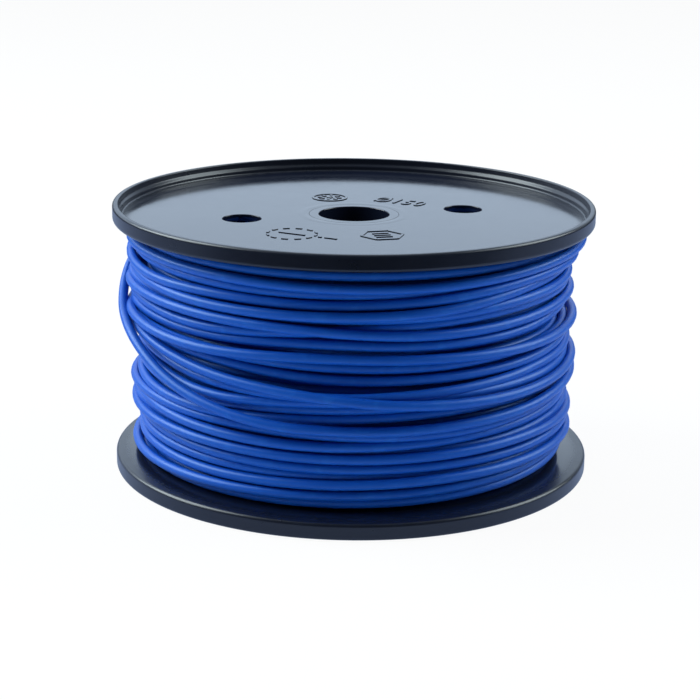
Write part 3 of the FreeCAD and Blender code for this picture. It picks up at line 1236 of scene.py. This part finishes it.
    def tail(self, name: str, route: Sequence[Triple], node: str,
             conductor: Object) -> Object:
        """The wire's start, through the barrel's slot and along its inside."""
        points = [at(*place) for place in route]
        run = WireRun(name, points, self.finish, (node,), far_end="bare", lay="loose",
                      with_pieces=[conductor], steps=8)
        return run.build()


# --- studio -------------------------------------------------------------------------


MIDDLE = Vector((0.0, 0.0, SPOOL_HEIGHT / 2.0))
# Each lamp: its name, its place across, behind and above the spool, its side and its watts.
LAMPS = (
    ("key_left", (-1.05, 0.2, 0.84), 1.0, 26.0),
    ("fill_right", (1.05, 0.2, 0.76), 0.9, 15.0),
    ("top_soft", (0.0, 0.2, 1.2), 1.0, 2.0),
)


@dataclass
class Studio:
    """A pale floor, soft lamps, a pale surround and the camera."""

    azimuth: float = -15.1
    elevation: float = 15.33
    distance: float = 0.620
    lens: float = 100.4
    sensor: float = 36.0
    roll: float = 0.784
    shift: Pair = (-0.0034, -0.0277)
    surround_dim: float = 0.07
    surround_bright: float = 1.05
    surround_tint: Colour = (0.93, 1.14, 1.40, 1.0)
    floor_colour: Colour = (0.86, 0.87, 0.88, 1.0)
    # The tint of the painted reflection that glossy rays see in the floor.
    painted_reflection_tint: Colour = (0.46, 0.60, 0.92, 1.0)
    lamp_colour: Triple = (0.84, 0.96, 1.0)
    floor_radius: float = 4.0
    floor_roughness: float = 0.9
    floor_unevenness: float = 0.1
    paper_scale: float = 90.0
    floor_glow: float = 0.93
    # Where the floor's painted reflection is painted dark, in front of the spool and towards the edge,
    # and how dark it goes.
    painted_dark_front: Pair = (0.10, 0.24)
    painted_dark_edge: Pair = (0.42, 0.60)
    painted_dark_strength: float = 0.97
    bright_side: Triple = (-0.35, 1.0, 0.0)
    bright_span: Pair = (0.35, 0.85)
    bright_above: Pair = (0.06, 0.165)

    def build(self) -> None:
        """Builds everything around the spool that isn't part of it."""
        bpy.context.scene.view_settings.view_transform = "Standard"
        self.lay_floor()
        self.light_surround()
        for lamp in LAMPS:
            self.hang_lamp(*lamp)
        self.set_camera()

    def towards(self, across: float, behind: float, up: float) -> Vector:
        """A direction given across the view, away from the camera, and up."""
        turn = Matrix.Rotation(math.radians(self.azimuth), 3, "Z")
        return turn @ Vector((across, behind, up))

    def lay_floor(self) -> None:
        """A wide level floor that shows white and keeps a soft shadow. To glossy rays it glows as a
        painted reflection, tinted blue and painted dark in front of the spool and towards its edge.
        """
        shape = bmesh.new()
        bmesh.ops.create_circle(shape, cap_ends=True, segments=96, radius=self.floor_radius)
        tree = SurfaceTree("studio_floor")
        paper = tree.noise(self.paper_scale, 3.0)
        matt = tree.add("ShaderNodeBsdfPrincipled", {}, {
            "Base Color": self.floor_colour,
            "Roughness": self.floor_roughness + (paper - 0.5) * self.floor_unevenness,
        })
        path = tree.add("ShaderNodeLightPath", {}, {})
        mirrored = Signal(tree, path.outputs["Is Glossy Ray"])
        # Glossy rays see the floor as a glowing painted reflection, painted dark in front of the spool
        # and towards its edge.
        forward = tree.along(tree.place, self.towards(0.0, -1.0, 0.0))
        out, _, _ = tree.round_axis()
        dark = out.maths("MAXIMUM", forward.ramp(*self.painted_dark_front), out.ramp(*self.painted_dark_edge))
        white = tree.add("ShaderNodeEmission", {}, {
            "Color": tree.mix_colour(mirrored, WHITE, self.painted_reflection_tint),
            "Strength": 1.0 - mirrored * dark * self.painted_dark_strength,
        })
        share = Signal(tree, path.outputs["Is Camera Ray"]) * self.floor_glow + mirrored
        both = tree.add("ShaderNodeMixShader", {}, {0: share, 1: matt.outputs[0], 2: white.outputs[0]})
        tree.add("ShaderNodeOutputMaterial", {}, {"Surface": both.outputs[0]})
        mesh_object("studio_floor", shape, tree.material)

    def light_surround(self) -> None:
        """A surround that is bright behind the spool, dim before it, and white to the camera."""
        world = bpy.data.worlds.new("soft_surround")
        world.use_nodes = True
        bpy.context.scene.world = world
        tree = Tree(world.node_tree)
        tree.nodes.nodes.clear()
        where = tree.add("ShaderNodeTexCoord", {}, {})
        ray = where.outputs["Generated"]
        behind = tree.along(ray, self.towards(*self.bright_side).normalized())
        above = tree.out("ShaderNodeSeparateXYZ", {}, {0: ray}, 2)
        glow = behind.ramp(*self.bright_span) * above.ramp(*self.bright_above)
        level = self.surround_dim + glow * (self.surround_bright - self.surround_dim)
        soft = tree.add("ShaderNodeBackground", {}, {"Color": self.surround_tint, "Strength": level})
        white = tree.add("ShaderNodeBackground", {}, {"Color": WHITE, "Strength": 1.0})
        path = tree.add("ShaderNodeLightPath", {}, {})
        both = tree.add("ShaderNodeMixShader", {}, {
            0: path.outputs["Is Camera Ray"],
            1: soft.outputs[0],
            2: white.outputs[0],
        })
        tree.add("ShaderNodeOutputWorld", {}, {"Surface": both.outputs[0]})

    def hang_lamp(self, name: str, place: Triple, side: float, watts: float) -> None:
        """Hangs one soft lamp, aimed at the spool's middle."""
        light = bpy.data.lights.new(name, "AREA")
        light.shape = "SQUARE"
        light.size = side
        light.energy = watts
        light.color = self.lamp_colour
        lamp = placed(name, light)
        lamp.location = self.towards(*place)
        aim = MIDDLE - lamp.location
        lamp.rotation_euler = aim.to_track_quat("-Z", "Y").to_euler()

    def set_camera(self) -> None:
        """Stands the camera at its bearing and height, aimed at the spool's middle."""
        rise = math.radians(self.elevation)
        away = self.towards(0.0, -math.cos(rise), math.sin(rise))
        lens = bpy.data.cameras.new("camera")
        lens.sensor_width = self.sensor
        lens.lens = self.lens
        lens.shift_x, lens.shift_y = self.shift
        camera = placed("camera", lens)
        camera.location = MIDDLE + away * self.distance
        aim = (-away).to_track_quat("-Z", "Y").to_matrix().to_4x4()
        tilt = Matrix.Rotation(math.radians(self.roll), 4, "Z")
        camera.rotation_euler = (aim @ tilt).to_euler()
        bpy.context.scene.camera = camera


# --- everything together ------------------------------------------------------------


def dress_frame_nodes(plastic: Material, copper: Material) -> None:
    """Puts a finish on the frame's own parts that stay in the scene."""
    for name, finish in (("barrel", plastic), ("start_conductor", copper), ("end_conductor", copper)):
        mesh = frame["nodes"][name].data
        mesh.materials.clear()
        mesh.materials.append(finish)
        LOG.info("dressed %s", name)


def main() -> None:
    """Builds the spool and its studio."""
    logging.basicConfig(level=logging.INFO, format="%(name)s: %(message)s")
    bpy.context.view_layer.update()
    plastic = MouldedPlastic().material()
    insulation = WireInsulation().material()
    copper = CopperStrand().material()
    dress_frame_nodes(plastic, copper)
    for end in End:
        FlangeMoulding(plastic).build(end)
    ArborTube(plastic).build()
    Winding(insulation).build()
    Studio().build()
    bpy.context.view_layer.update()


if __name__ == "__main__":
    main()
